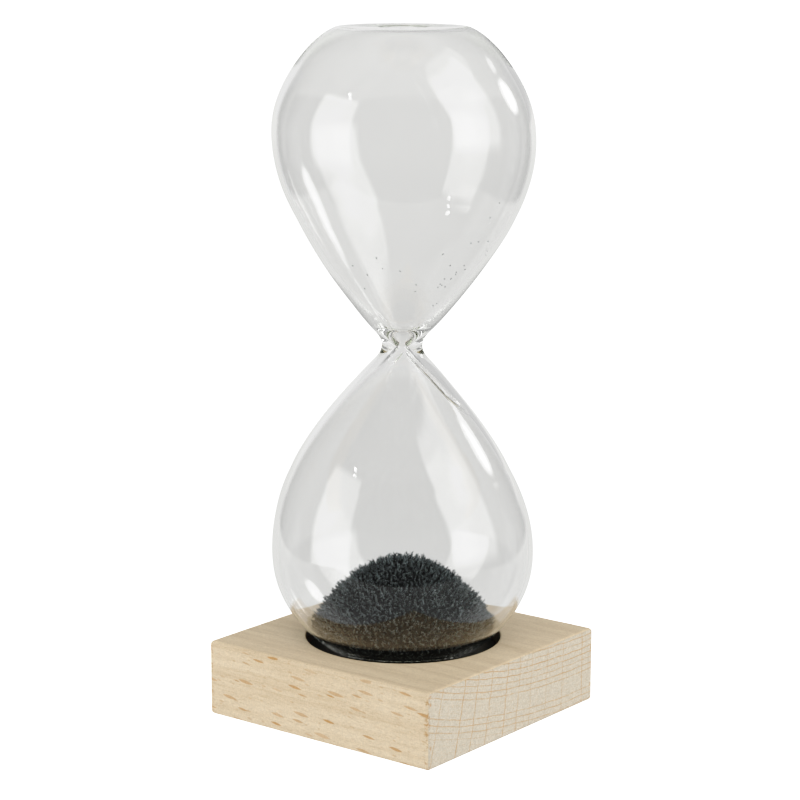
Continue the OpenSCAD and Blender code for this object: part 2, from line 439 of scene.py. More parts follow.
def glue_material():
    mat, g, _, shader, place, _ = material("cured_glue")
    cloud = g.noise(place, 0.35, 3.0, 0.6)
    bubbles = g.voronoi(place, 1.3)
    g.put(shader.inputs["Base Color"], g.mix(g.ramp(cloud, 0.3, 0.7), (0.52, 0.45, 0.28), (0.66, 0.60, 0.44)))
    g.put(shader.inputs["Roughness"], g.ramp(cloud, 0.2, 0.8, 0.12, 0.3))
    g.put(shader.inputs["Normal"], g.bump(g.ramp(bubbles.outputs["Distance"], 0.2, 0.1), 0.3, 0.05 * MM))
    return mat


def iron_material(name, dark, light, rough_lo, rough_hi, power=1.5):
    """Blackened iron grains: every grain has its own tone, and painted shade makes those low in the pile dimmer."""
    mat, g, _, shader, place, _ = material(name)
    island = g.new("ShaderNodeNewGeometry").outputs["Random Per Island"]
    specks = g.noise(place, 4.0, 3.0, 0.7)
    # Painted shade: the grains darken towards the bottom of the pile, where it lies in shadow
    painted_low_shade = g.ramp(g.xyz(place)[2], VESSEL_Z + 1.5, VESSEL_Z + 12.0, 0.52, 1.0)
    tone = g.mul(g.m("POWER", island, power), g.ramp(specks, 0.25, 0.75, 0.55, 1.25))
    colour = g.mix(tone, dark, light)
    colour = g.mix(1.0, colour, g.vec(painted_low_shade, painted_low_shade, painted_low_shade), "MULTIPLY")
    g.put(shader.inputs["Base Color"], colour)
    g.put(shader.inputs["Roughness"], g.ramp(specks, 0.3, 0.7, rough_lo, rough_hi))
    shader.inputs["Metallic"].default_value = 0.55
    shader.inputs["Specular IOR Level"].default_value = 0.35
    g.put(shader.inputs["Normal"], g.bump(specks, 0.5, 0.04 * MM))
    return mat


def glass_material():
    """Clear soda-lime glass. Its faint green gathers where it is thick."""
    mat, g, out, shader, place, _ = material("clear_glass")
    shader.inputs["Base Color"].default_value = (0.99, 0.99, 0.99, 1)
    shader.inputs["Transmission Weight"].default_value = 1.0
    shader.inputs["Roughness"].default_value = 0.0
    shader.inputs["IOR"].default_value = 1.5
    ripple = g.noise(g.scaled(place, (0.16, 0.16, 0.07)), 1.0, 1.0, 0.4)
    g.put(shader.inputs["Normal"], g.bump(ripple, 0.12, 0.06 * MM))
    absorb = g.new("ShaderNodeVolumeAbsorption")
    absorb.inputs["Color"].default_value = (0.70, 0.82, 0.50, 1)
    absorb.inputs["Density"].default_value = 3.0
    g.put(out.inputs["Volume"], absorb.outputs[0])
    return mat


WOOD = wood_material()
FELT = felt_material()
FERRITE = ferrite_material()
GLUE = glue_material()
IRON = iron_material("iron_grains", (0.118, 0.132, 0.132), (0.40, 0.455, 0.455), 0.38, 0.62, 1.8)
IRON_TUFT = iron_material("iron_tufts", (0.062, 0.071, 0.071), (0.21, 0.24, 0.24), 0.42, 0.65)
# Near-black packed core: dark packed iron, with painted shade standing in for the deep gaps between the tufts
PACKED_IRON_AND_SHADE = iron_material("iron_packed_in_shade", (0.010, 0.011, 0.011), (0.022, 0.024, 0.024), 0.8, 0.95)
GLASS = glass_material()

# --------------------------------------------------------------------------
# The wooden block
# --------------------------------------------------------------------------
SIDE_POINTS, CORNER_POINTS = 44, 12  # on each side of the outline


def square_ring(a, r, z):
    """Points round a square of half side a with corners rounded to r."""
    pts = []
    for k in range(4):
        turn = k * math.pi / 2
        c, s = math.cos(turn), math.sin(turn)
        local = []
        for i in range(SIDE_POINTS):
            t = -1 + 2 * (i + 0.5) / SIDE_POINTS
            local.append((a, t * (a - r)))
        for i in range(CORNER_POINTS):
            q = math.pi / 2 * i / (CORNER_POINTS - 1)
            local.append((a - r + r * math.cos(q), a - r + r * math.sin(q)))
        pts += [(c * x - s * y, s * x + c * y, z) for x, y in local]
    return np.array(pts)


def circle_ring(r, z, like):
    angle = np.arctan2(like[:, 1], like[:, 0])
    return np.column_stack([r * np.cos(angle), r * np.sin(angle), np.full(len(like), z)])


def make_block():
    a, top = BLOCK_A, BLOCK_TOP
    ease, corner = 0.8, 0.6
    rings = []
    shape = square_ring(a, corner, 0.0)

    def square(inset, z):
        rings.append(square_ring(a - inset, max(corner - inset * 0.3, 0.35), z))

    for f in (0.25, 0.5, 0.75, 0.93):
        rings.append(np.column_stack([shape[:, 0] * f, shape[:, 1] * f, np.zeros(len(shape))]))
    square(ease + 0.25, 0.0)
    for i in range(6):
        q = math.pi / 2 * i / 5
        square(ease * (1 - math.sin(q)), ease * (1 - math.cos(q)))
    for z in (ease + 0.25, 3, 6, 9, 12, 15, top - ease - 0.25):
        square(0.0, z)
    for i in range(6):
        q = math.pi / 2 * i / 5
        square(ease * (1 - math.cos(q)), top - ease * (1 - math.sin(q)))
    square(ease + 0.25, top)
    # The flat top, from the square to the mouth of the recess
    mouth, wall_r = 0.35, RECESS_R
    outer, inner = rings[-1], circle_ring(wall_r + mouth + 0.2, top, shape)
    for f in (0.3, 0.6, 0.85):
        rings.append(outer * (1 - f) + inner * f)
    rings.append(inner)
    for i in range(5):
        q = math.pi / 2 * i / 4
        rings.append(circle_ring(wall_r + mouth * (1 - math.sin(q)), top - mouth * (1 - math.cos(q)), shape))
    for z in (top - 1.2, top - 2.2, top - 3.4, 10.0, 7.5, RECESS_FLOOR + 0.2, RECESS_FLOOR):
        rings.append(circle_ring(wall_r, z, shape))
    for f in (0.97, 0.7, 0.35):
        rings.append(circle_ring(wall_r * f, RECESS_FLOOR, shape))
    n = len(shape)
    verts = [[0, 0, 0]]
    for ring in rings:
        verts += ring.tolist()
    verts.append([0, 0, RECESS_FLOOR])
    faces = []
    for i in range(n):
        j = (i + 1) % n
        faces.append((0, 1 + j, 1 + i))
        for k in range(len(rings) - 1):
            p, q = 1 + k * n, 1 + (k + 1) * n
            faces.append((p + i, p + j, q + j, q + i))
        last = 1 + (len(rings) - 1) * n
        faces.append((last + i, last + j, len(verts) - 1))
    verts = np.array(verts)
    # Sanded by hand: the edges are a little uneven
    x, y, z = verts.T
    edge = np.maximum(np.abs(x), np.abs(y)) > a - 0.6
    near_top = np.clip(1 - np.abs(z - top) / 0.7, 0, 1)
    near_bottom = np.clip(1 - z / 0.7, 0, 1)
    wave = np.sin(0.9 * x + 1.3) * np.sin(0.7 * y + 0.4) + 0.6 * np.sin(2.3 * x + 1.9 * y)
    shrink = 0.05 * (1 + wave / 1.6) * (near_top + near_bottom) * edge
    verts[:, 0] -= np.sign(x) * shrink * (np.abs(x) > a - 0.6)
    verts[:, 1] -= np.sign(y) * shrink * (np.abs(y) > a - 0.6)
    block = make_mesh("beech_block", verts, faces, "base", ["base_block"], WOOD)
    block.data.set_sharp_from_angle(angle=math.radians(50))
    return block


make_block()

# --------------------------------------------------------------------------
# Felt disc, magnet and glue
# --------------------------------------------------------------------------
def make_pad():
    segs = 160
    z0, z1 = pad_lo[2] + 0.02, pad_hi[2]
    r = PAD_R
    rows = [(0, z0), (r * 0.5, z0), (r - 0.3, z0), (r - 0.08, z0 + 0.08), (r, z0 + 0.25), (r + 0.03, z0 + 0.5)]
    rows += [(r, z1 - 0.25), (r - 0.1, z1 - 0.07), (r - 0.3, z1 - 0.01)]
    rows += [(q, z1) for q in np.linspace(r - 0.6, 0.6, 54)] + [(0, z1)]

    def rough(ring, rr, z):
        if z > z1 - 0.02 and rr > 0:
            x, y = ring[:, 0], ring[:, 1]
            bumps = (
                np.sin(1.9 * x + 0.7 * y) * np.sin(1.3 * y - 0.5 * x)
                + 0.7 * np.sin(4.1 * x - 2.2 * y + 1) * np.sin(3.7 * y + 1.1 * x)
                + 0.5 * np.sin(7.3 * x + 3.1) * np.sin(6.7 * y)
            )
            ring[:, 2] -= 0.05 * (1 + bumps / 2.2)
        return ring

    verts, faces = lathe(rows, segs, rough)
    return make_mesh("felt_disc", verts, faces, "base", ["recess_pad"], FELT)


make_pad()

for node, mat, slot in (("magnet_disc", FERRITE, "ferrite"), ("magnet_adhesive", GLUE, "glue")):
    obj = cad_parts[node]
    obj.data.materials.clear()
    obj.data.materials.append(mat)

# --------------------------------------------------------------------------
# The glass vessel
# --------------------------------------------------------------------------
SPAN = HALF_L - WIDEST


def toward(angle):
    angle = math.radians(angle)
    return np.array([-math.sin(angle), math.cos(angle)])


def cubic(a, b, c, d, n):
    t = (np.arange(1, n + 1) / n)[:, None]
    a, b, c, d = (np.asarray(v, float) for v in (a, b, c, d))
    return (1 - t) ** 3 * a + 3 * (1 - t) ** 2 * t * b + 3 * (1 - t) * t * t * c + t**3 * d


def taper(r, n=(26, 26, 14)):
    top = np.array([0.823 * r, WIDEST + 0.398 * SPAN])
    end = np.array([NECK_R + 2.1, HALF_L - 3.7])
    return np.vstack([
        cubic([r, WIDEST], [r, WIDEST + 0.202 * SPAN], top - 0.042 * SPAN * toward(25), top, n[0]),
        cubic(top, top + 0.222 * SPAN * toward(25), end - 0.141 * SPAN * toward(44.5), end, n[1]),
        cubic(end, end + 1.4 * toward(44.5), [NECK_R, HALF_L - 1.6], [NECK_R, HALF_L], n[2]),
    ])


def outer_half(r):
    flat = [[q, 0.22 * math.cos(math.pi / 2 * q / FLAT_R) ** 2] for q in np.linspace(0, FLAT_R, 30)]
    return np.vstack([flat, cubic([FLAT_R, 0], [FLAT_R + 2.6, 0], [r, WIDEST - 15.5], [r, WIDEST], 60), taper(r)])


def thickness(d):
    """Wall at a distance from the neck: thick in the waist, and still a little stronger over the cones."""
    share = 0.72 * np.exp(-d / 1.7) + 0.28 * np.exp(-np.power(d / 10.5, 1.5))
    return WALL + (NECK_R - PASSAGE_R - WALL) * share


def inset(path, wall):
    """The path moved inward by the wall's thickness at each point."""
    pts = []
    for i in range(1, len(path)):
        s = np.array([0.0, 1.0]) if i == len(path) - 1 else path[i + 1] - path[i - 1]
        s = s / np.linalg.norm(s)
        q = path[i] - wall(path[i][1]) * np.array([s[1], -s[0]])
        if not pts or q[1] > pts[-1][1] + 0.02:
            pts.append(q)
    return pts


def flat_floor(r, z):
    return [[q, z] for q in np.linspace(0, r, 30)]


def inner_lower(r):
    """Inside the lower bulb, where the wall is thicker round the flat end."""
    path = np.vstack([[r, WIDEST - 1], taper(r, (26, 30, 22))])
    side = [q for q in inset(path, lambda z: thickness(HALF_L - z)) if q[1] > WIDEST + 0.2]
    f = 13.4
    corner = cubic([f, END_WALL], [f + 4.2, END_WALL], [r - WALL, WIDEST - 14.6], [r - WALL, WIDEST], 80)
    return np.vstack([flat_floor(f, END_WALL), corner, side])


def inner_upper(r):
    """Inside the upper bulb, where the wall thins toward the flat end."""

    def wall(z):
        return thickness(HALF_L - z) if z > WIDEST else TOP_WALL + (WALL - TOP_WALL) * float(smooth(z / 10.0))

    pts = inset(outer_half(r)[29:], wall)
    return np.vstack([flat_floor(pts[0][0] - 0.3, pts[0][1]), pts])


def whole(lower, upper):
    """Both halves as one line from the lower flat end to the upper one."""
    turned = np.column_stack([upper[::-1, 0], VESSEL_L - upper[::-1, 1]])
    return np.vstack([lower, turned[1:]])


def eased(levels, values, step=0.5, width=2.5):
    """A table smoothed so that it has no corners."""
    at = np.arange(0, VESSEL_L + step, step)
    raw = np.interp(at, levels, values)
    w = np.exp(-0.5 * (np.arange(-12, 13) * step / width) ** 2)
    return at, np.convolve(np.pad(raw, 12, mode="edge"), w / w.sum(), mode="valid")


# How far the middle of the glass lies to the right of the axis, by height
SHIFT_AT, SHIFT = eased(
    [0, 20, 26, 32, 37, 42, 48, 58, 62, 67, 72.5, 77.5, 82, 91, 99.5, 105, 110.5, 116, 124, 138, 145],
    [-0.06, -0.08, -0.16, -0.3, -0.62, -0.85, -0.95, -0.92, -0.8, -0.58, -0.44, -0.28, -0.08, 0.05, 0.42, 0.24, 0.08, -0.03, -0.34, -0.47, -0.45],
)
# And how much wider it is there than the plain outline
SWELL_AT, SWELL = eased(
    [0, 8, 13, 18, 23, 32, 40, 45, 54, 59, 64, 70, 74, 78, 81, 95, 100, 110, 118, 127, 132, 138, 142, 145],
    [0, 0.2, 0.3, 0.28, 0.05, 0.03, 0.28, 0.38, 0.16, 0.0, -0.2, -0.05, 0.1, 0.0, -0.22, -0.2, 0.0, 0.05, -0.05, -0.12, -0.42, -0.5, -0.2, 0.0],
)


def blown(ring, r, z):
    """The glass is blown by eye: its middle wanders a little, and it is not quite round."""
    x, y = ring[:, 0], ring[:, 1]
    angle = np.arctan2(y, x)
    u = z - VESSEL_Z
    shift = float(np.interp(u, SHIFT_AT, SHIFT))
    swell = float(np.interp(u, SWELL_AT, SWELL))
    out = np.minimum(r / 20, 1) * (
        0.05 * np.cos(2 * angle + 0.6 + u * 0.018)
        + 0.03 * np.cos(3 * angle - 1.1 + u * 0.045)
        + 0.02 * np.cos(5 * angle + u * 0.09)
        - 0.10
    )
    out = out + swell * min(r / 12, 1)
    k = np.where(r > 0, 1 + out / max(r, 1e-6), 1)
    ring[:, 0] = x * k + shift * CAM_RIGHT.x
    ring[:, 1] = y * k + shift * CAM_RIGHT.y
    return ring


# Creases left by the torch on the inside: (distance above the neck, degrees to the right of the camera's side), height, width
CREASES = (
    (((-1.0, 20), (-4.0, 40), (-7.0, 52), (-11.7, 61.5), (-15.5, 76)), 0.60, 0.36),
    (((-0.6, -14), (-2.5, -24), (-4.6, -38)), 0.34, 0.34),
    (((9.4, -37), (7.6, -33), (5.6, -28)), 0.10, 0.30),
)


def creased(ring, r, z):
    ring = blown(ring, r, z)
    d = z - NECK_Z
    for path, height, width in CREASES:
        levels = sorted(path)
        lo, hi = levels[0][0], levels[-1][0]
        share = float(smooth((d - lo) / 1.6) * smooth((hi - d) / 1.0))
        if share <= 0 or r < 0.6:
            continue
        at = math.radians(np.interp(d, [q[0] for q in levels], [q[1] for q in levels]))
        way = CAM_BACK * math.cos(at) + CAM_RIGHT * math.sin(at)
        angle = np.arctan2(ring[:, 1], ring[:, 0])
        off = (angle - math.atan2(way.y, way.x) + math.pi) % (2 * math.pi) - math.pi
        k = 1 - height * share * np.exp(-((off * r / width) ** 2)) / r
        ring[:, 0] *= k
        ring[:, 1] *= k
    return ring


def bead(points, outside):
    """The sealed filling hole: a shallow dimple outside, a soft drop inside."""
    pts = points.copy()
    for p in pts:
        if p[1] > VESSEL_L - 3:
            if outside:
                p[1] -= 0.15 * math.exp(-((p[0] / 1.7) ** 2)) - 0.05 * math.exp(-(((p[0] - 2.9) / 0.8) ** 2))
            else:
                p[1] -= 0.35 * math.exp(-((p[0] / 1.9) ** 2))
    return pts


def refine_top(points, r_max, step):
    """More rows across the middle of the upper flat, for the bead."""
    keep = [tuple(p) for p in points if not (p[1] > VESSEL_L - 3 and p[0] < r_max)]
    z = points[-1][1]
    return np.array(keep + [(q, z) for q in np.arange(r_max, 0, -step)] + [(0.0, z)])


outer = whole(outer_half(LOWER_R), outer_half(UPPER_R))
inner = whole(inner_lower(LOWER_R), inner_upper(UPPER_R))


def make_glass():
    segs = 148
    skin = bead(refine_top(outer, 5.5, 0.35), True)
    bore = bead(refine_top(inner, 5.5, 0.35), False)
    skin[:, 1] += VESSEL_Z
    bore[:, 1] += VESSEL_Z
    skin[:, 1] = np.minimum(skin[:, 1], VESSEL_Z + VESSEL_L)
    verts, faces = lathe(skin.tolist(), segs, blown)
    # The inner surface follows the outer one's wandering, with its own ripples
    more, inside = lathe(bore.tolist(), segs, creased, first=len(verts))
    faces += [tuple(reversed(f)) for f in inside]
    verts = verts + more
    glass = make_mesh("blown_glass", verts, faces, "vessel", ["glass_vessel", "fill_seal"], GLASS)
    glass.visible_shadow = False
    glass.visible_diffuse = False
    return glass


make_glass()

# --------------------------------------------------------------------------
# The iron filings
# --------------------------------------------------------------------------
inner_z = inner[:, 1][: len(inner) // 2]
inner_r = inner[:, 0][: len(inner) // 2]


def inside(u):
    """Radius inside the lower bulb at height u above its flat end."""
    return np.interp(u, inner_z[29:], inner_r[29:])


DOME_U, DOME_R, DOME_H = 5.0, 21.25, 16.45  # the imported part, without the tufts


def core_profile(n=64):
    """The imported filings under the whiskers, from the floor's edge to the apex."""
    rows = []
    for u in np.linspace(END_WALL + 0.03, DOME_U, 12):
        rows.append((min(float(inside(u)) - 0.12, DOME_R), u))
    for i in range(1, n + 1):
        t = math.sin(math.pi / 2 * i / n) ** 1.3
        r = DOME_R * max(1 - t**1.2, 0.0) ** 0.55 if i < n else 0.0
        rows.append((min(r, float(inside(DOME_U + DOME_H * t)) - 0.12), DOME_U + DOME_H * t))
    return rows


def lumps(p):
    """Slow unevenness of the pile, from -1 to 1."""
    x, y, z = p.T
    return (
        np.sin(0.71 * x + 0.33 * y + 1.0) * np.sin(0.57 * y - 0.21 * z)
        + 0.6 * np.sin(1.37 * x - 0.9 * z + 2.0) * np.sin(1.21 * y + 0.5)
        + 0.4 * np.sin(2.9 * x + 1.7 * y) * np.sin(2.3 * z + 1.9 * y)
    ) / 1.6


def make_core():
    rows = [(0.0, END_WALL + 0.03)] + [(r * f, END_WALL + 0.03) for f in (0.3, 0.6, 0.9) for r in (core_profile()[0][0],)]
    rows += core_profile()
    rows = [(r, VESSEL_Z + u) for r, u in rows]

    def uneven(ring, r, z):
        if z > VESSEL_Z + DOME_U - 1 and r > 0:
            k = 0.18 * lumps(ring) * smooth((z - VESSEL_Z - DOME_U + 1) / 3)
            ring[:, 2] += k
        return ring

    verts, faces = lathe(rows, 160, uneven)
    return make_mesh("filings_packed", verts, faces, "vessel", ["iron_filings"], PACKED_IRON_AND_SHADE)


make_core()


def magnet_field():
    """Direction of the disc magnet's field at points (r, z), from a table of its two charged faces."""
    rr, zz = np.linspace(0, 26, 27), np.linspace(14, 42, 29)
    q = []
    radius = magnet_hi[0]
    for r in np.linspace(0.5, radius - 0.5, 16):
        n = max(6, int(r * 3))
        for a in np.arange(n) * 2 * math.pi / n:
            q.append((r * math.cos(a), r * math.sin(a), r / n))
    q = np.array(q)
    hr, hz = np.zeros((27, 29)), np.zeros((27, 29))
    for i, r in enumerate(rr):
        for j, z in enumerate(zz):
            for face, sign in ((magnet_hi[2], 1.0), (magnet_lo[2], -1.0)):
                dx, dy, dz = r - q[:, 0], -q[:, 1], z - face
                d3 = (dx * dx + dy * dy + dz * dz) ** 1.5
                hr[i, j] += sign * np.sum(q[:, 2] * dx / d3)
                hz[i, j] += sign * np.sum(q[:, 2] * dz / d3)
    hr[0] = 0

    def at(r, z):
        fr, fz = np.clip(r, 0, 25.99), np.clip(z - 14, 0, 27.99)
        i, j = fr.astype(int), fz.astype(int)
        a, b = fr - i, fz - j

        def mixed(h):
            return (h[i, j] * (1 - a) * (1 - b) + h[i + 1, j] * a * (1 - b) + h[i, j + 1] * (1 - a) * b + h[i + 1, j + 1] * a * b)

        fr_, fz_ = mixed(hr), mixed(hz)
        n = np.sqrt(fr_**2 + fz_**2)
        return fr_ / n, fz_ / n

    return at


FIELD = magnet_field()


def scatter(spacing, rng, lowest=END_WALL + 0.4):
    """Points spread over the pile's surface, with outward normals."""
    rows = np.array([(r, u) for r, u in core_profile(160) if u >= lowest])
    seg = np.diff(rows, axis=0)
    length = np.hypot(seg[:, 0], seg[:, 1])
    along = np.concatenate([[0], np.cumsum(length)])
    pts, normals = [], []
    steps = int(along[-1] / spacing)
    for s in range(steps):
        at = (s + 0.5) / steps * along[-1]
        r = np.interp(at, along, rows[:, 0])
        count = max(1, int(round(2 * math.pi * r / spacing)))
        t = at + rng.uniform(-0.5, 0.5, count) * spacing
        ang = (np.arange(count) + rng.uniform(-0.45, 0.45, count) + 0.5 * (s % 2)) / count * 2 * math.pi
        t = np.clip(t, 0, along[-1] - 1e-3)
        pr, pu = np.interp(t, along, rows[:, 0]), np.interp(t, along, rows[:, 1])
        k = np.clip(np.searchsorted(along, t) - 1, 0, len(seg) - 1)
        nr, nu = seg[k, 1] / length[k], -seg[k, 0] / length[k]
        pts.append(np.column_stack([pr * np.cos(ang), pr * np.sin(ang), VESSEL_Z + pu]))
        normals.append(np.column_stack([nr * np.cos(ang), nr * np.sin(ang), nu]))
    return np.vstack(pts), np.vstack(normals)


def keep_inside(p):
    """Points pushed back inside the lower bulb."""
    r = np.hypot(p[:, 0], p[:, 1])
    limit = inside(p[:, 2] - VESSEL_Z) - 0.12
    k = np.minimum(1, limit / np.maximum(r, 1e-6))
    p[:, 0] *= k
    p[:, 1] *= k
    p[:, 2] = np.maximum(p[:, 2], VESSEL_Z + END_WALL + 0.05)
    return p


def needles(base, direction, length, radius, rng, sides, levels, kink, blunt):
    """Slender kinked grains as closed shells: rings at the given levels and a tip."""
    n = len(base)
    ref = rng.normal(size=(n, 3))
    u = np.cross(direction, ref)
    u /= np.linalg.norm(u, axis=1, keepdims=True)
    v = np.cross(direction, u)
    verts = []
    drift = np.zeros((n, 3))
    for k, (t, width) in enumerate(levels):
        if k:
            drift = drift + (u * rng.normal(size=(n, 1)) + v * rng.normal(size=(n, 1))) * kink
        centre = keep_inside(base + direction * (length * t)[:, None] + drift)
        start = rng.uniform(0, 2 * math.pi, n) if k == 0 else start + rng.normal(size=n) * 0.3
        for i in range(sides):
            a = start + 2 * math.pi * i / sides
            wide = radius * width * rng.uniform(0.7, 1.3, n)
            verts.append(centre + u * (np.cos(a) * wide)[:, None] + v * (np.sin(a) * wide)[:, None])
    drift = drift + (u * rng.normal(size=(n, 1)) + v * rng.normal(size=(n, 1))) * kink
    verts.append(keep_inside(base + direction * (length * blunt)[:, None] + drift))
    count = len(verts)
    verts = np.stack(verts, axis=1).reshape(-1, 3)
    faces = []
    pattern = [tuple(reversed(range(sides)))]
    for k in range(len(levels) - 1):
        for i in range(sides):
            j = (i + 1) % sides
            a, b = k * sides, (k + 1) * sides
            pattern.append((a + i, a + j, b + j, b + i))
    last = (len(levels) - 1) * sides
    for i in range(sides):
        pattern.append((last + i, last + (i + 1) % sides, count - 1))
    for s in range(n):
        o = s * count
        faces += [tuple(o + q for q in f) for f in pattern]
    return verts, faces


def field_direction(p, normal, rng, share, spread):
    r = np.hypot(p[:, 0], p[:, 1])
    fr, fz = FIELD(r, p[:, 2])
    c = np.where(r > 1e-6, p[:, 0] / np.maximum(r, 1e-6), 0)
    s = np.where(r > 1e-6, p[:, 1] / np.maximum(r, 1e-6), 0)
    d = np.column_stack([fr * c, fr * s, fz]) * share + normal * (1 - share)
    d += rng.normal(size=d.shape) * spread
    return d / np.linalg.norm(d, axis=1, keepdims=True)


def make_whiskers():
    rng = np.random.default_rng(11)
    # Tufts: a few pointed filings each, end to end, leaning together
    p, n = scatter(0.92, rng)
    d = field_direction(p, n, rng, 0.5, 0.30)
    free = smooth((p[:, 2] - VESSEL_Z - 2.5) / 4.0)
    reach = (0.68 + 1.25 * rng.random(len(p)) ** 1.9 + 0.30 * lumps(p)) * (0.45 + 0.55 * free)
    base = p - d * 0.35
    verts, faces = needles(
        base, d, reach + 0.35, rng.uniform(0.22, 0.33, len(p)), rng, 5, [(0, 1.0), (0.3, 0.85), (0.6, 0.48), (0.82, 0.22)], 0.05, 1.0
    )
    make_mesh("filings_spikes", verts, faces, "vessel", (), IRON_TUFT, smooth_shade=False)
    # Single grains clinging along the tufts, their ends standing clear
    bases, ways, sizes, thick = [], [], [], []
    for k in range(8):
        t = rng.uniform(0.2, 1.0, len(p))
        side = rng.normal(size=p.shape)
        side -= d * np.sum(side * d, axis=1, keepdims=True)
        side /= np.linalg.norm(side, axis=1, keepdims=True)
        bases.append(base + d * ((reach + 0.35) * t * 0.85)[:, None] + side * (0.20 * (1.0 - 0.8 * t))[:, None])
        way = d + side * rng.uniform(0.1, 1.0, len(p))[:, None]
        ways.append(way / np.linalg.norm(way, axis=1, keepdims=True))
        sizes.append(rng.uniform(0.30, 0.70, len(p)))
        thick.append(rng.uniform(0.045, 0.085, len(p)))
    for k, name in enumerate(("filings_grains_a", "filings_grains_b")):
        part = slice(4 * k, 4 * k + 4)
        verts, faces = needles(
            np.vstack(bases[part]), np.vstack(ways[part]), np.concatenate(sizes[part]), np.concatenate(thick[part]),
            rng, 3, [(0, 0.8), (0.5, 1.0)], 0.02, 1.0,
        )
        make_mesh(name, verts, faces, "vessel", (), IRON, smooth_shade=False)


make_whiskers()

# --------------------------------------------------------------------------
# Stray grains on the inside of the upper bulb
# --------------------------------------------------------------------------
half = len(inner) // 2
upper_u = inner[half:, 1]
upper_r = inner[half:, 0]


def make_strays():
    rng = np.random.default_rng(23)
    spots = []
    for count, az, az_s, z, z_s in ((11, 34, 7, 17.2, 2.6), (9, 52, 8, 26.0, 3.2), (9, -8, 17, 19.8, 3.6)):
        for _ in range(count):
            spots.append((az + az_s * rng.normal(), HALF_L + z + z_s * rng.normal()))
    base, direction = [], []
    for az, u in spots:
        r = float(np.interp(u, upper_u, upper_r)) - 0.17
        a = math.radians(az)
        out = CAM_BACK * math.cos(a) + CAM_RIGHT * math.sin(a)
        base.append([out.x * r, out.y * r, VESSEL_Z + u])
        d = rng.normal(size=3)
        d -= np.array(out) * np.dot(d, np.array(out)) * 0.85
        direction.append(d / np.linalg.norm(d))
    base, direction = np.array(base), np.array(direction)
    n = len(base)
    ref = rng.normal(size=(n, 3))
    length = rng.uniform(0.28, 0.5, n)
    verts, faces = [], []
    u = np.cross(direction, ref)
    u /= np.linalg.norm(u, axis=1, keepdims=True)
    v = np.cross(direction, u)
    for s in range(n):
        o = len(verts)
        for t, w in ((-0.5, 0.35), (-0.2, 1.0), (0.25, 0.85), (0.5, 0.3)):
            for i in range(5):
                a = 2 * math.pi * i / 5 + rng.normal() * 0.2
                wide = 0.12 * w * rng.uniform(0.7, 1.25)
                verts.append(base[s] + direction[s] * t * length[s] + u[s] * math.cos(a) * wide + v[s] * math.sin(a) * wide)
        faces.append(tuple(o + i for i in reversed(range(5))))
        for k in range(3):
            for i in range(5):
                j = (i + 1) % 5
                faces.append((o + k * 5 + i, o + k * 5 + j, o + (k + 1) * 5 + j, o + (k + 1) * 5 + i))
        faces.append(tuple(o + 15 + i for i in range(5)))
    make_mesh("stray_grains", np.array(verts), faces, "vessel", ["stray_filings"], IRON, smooth_shade=False)


make_strays()


# --------------------------------------------------------------------------
# Stage: a pale floor and soft light
# --------------------------------------------------------------------------
def stage_plane(name, half_size, z, mat):
    mesh = bpy.data.meshes.new(name)
    s = half_size
    mesh.from_pydata([(-s, -s, z), (s, -s, z), (s, s, z), (-s, s, z)], [], [(0, 1, 2, 3)])
    mesh.update()
    obj = bpy.data.objects.new(name, mesh)
    bpy.context.scene.collection.objects.link(obj)
    mesh.materials.append(mat)
    return obj


def blank(name):
    mat = bpy.data.materials.new(name)
    mat.use_nodes = True
    mat.node_tree.nodes.clear()
    mat.cycles.emission_sampling = "NONE"
    g = Graph(mat.node_tree)
    return mat, g, g.new("ShaderNodeOutputMaterial")


PAPER = 0.76  # the pale surroundings as the glass sees them
PAPER_FAR = 0.82  # and further behind


def straight_through(g):
    """1 for light seen through the glass with no reflection on the way: from every side that is the pale studio."""
    path = g.new("ShaderNodeLightPath").outputs
    bounced = g.add(path["Glossy Depth"], path["Diffuse Depth"])
    return g.mul(path["Is Transmission Ray"], g.m("LESS_THAN", bounced, 0.5))


def floor_material():
    """White as seen straight on, with a faint contact shadow."""
    mat, g, out = blank("floor")
    seen = g.new("ShaderNodeLightPath").outputs["Is Camera Ray"]
    glow = g.new("ShaderNodeEmission", {"Color": (1, 1, 1, 1), "Strength": g.mixf(seen, 0.85, 1.6)})
    soft = g.new("ShaderNodeBsdfDiffuse", {"Color": (0.10, 0.10, 0.10, 1)})
    both = g.new("ShaderNodeAddShader")
    g.put(both.inputs[0], glow.outputs[0])
    g.put(both.inputs[1], soft.outputs[0])
    g.put(out.inputs["Surface"], both.outputs[0])
    return mat


def table_material():
    """The pale table as the glass mirrors it: it ends in front, where the room is dark."""
    mat, g, out = blank("table")
    place = g.new("ShaderNodeTexCoord").outputs["Object"]
    side = g.mul(g.dot(place, CAM_RIGHT), 1 / MM)
    front = g.mul(g.dot(place, CAM_BACK), 1 / MM)
    on = g.mul(g.ramp(front, 148, 140), g.ramp(g.m("ABSOLUTE", side), 250, 215))
    behind = g.m("MAXIMUM", g.mul(front, -1.0), 1.0)
    wide = g.div(g.m("ABSOLUTE", side), behind)
    on = g.m("MAXIMUM", on, g.mul(g.ramp(front, -215, -260), g.ramp(wide, 0.80, 0.62)))
    level = g.mixf(g.ramp(front, 26, 44), g.ramp(front, -450, -1400, PAPER, PAPER_FAR), 0.50)
    level = g.mixf(g.mul(straight_through(g), g.ramp(front, 20, 30)), level, PAPER)
    glow = g.new("ShaderNodeEmission", {"Color": (1.0, 1.0, 0.985, 1), "Strength": level})
    clear = g.new("ShaderNodeBsdfTransparent")
    mix = g.new("ShaderNodeMixShader", {0: on})
    g.put(mix.inputs[1], clear.outputs[0])
    g.put(mix.inputs[2], glow.outputs[0])
    g.put(out.inputs["Surface"], mix.outputs[0])
    return mat


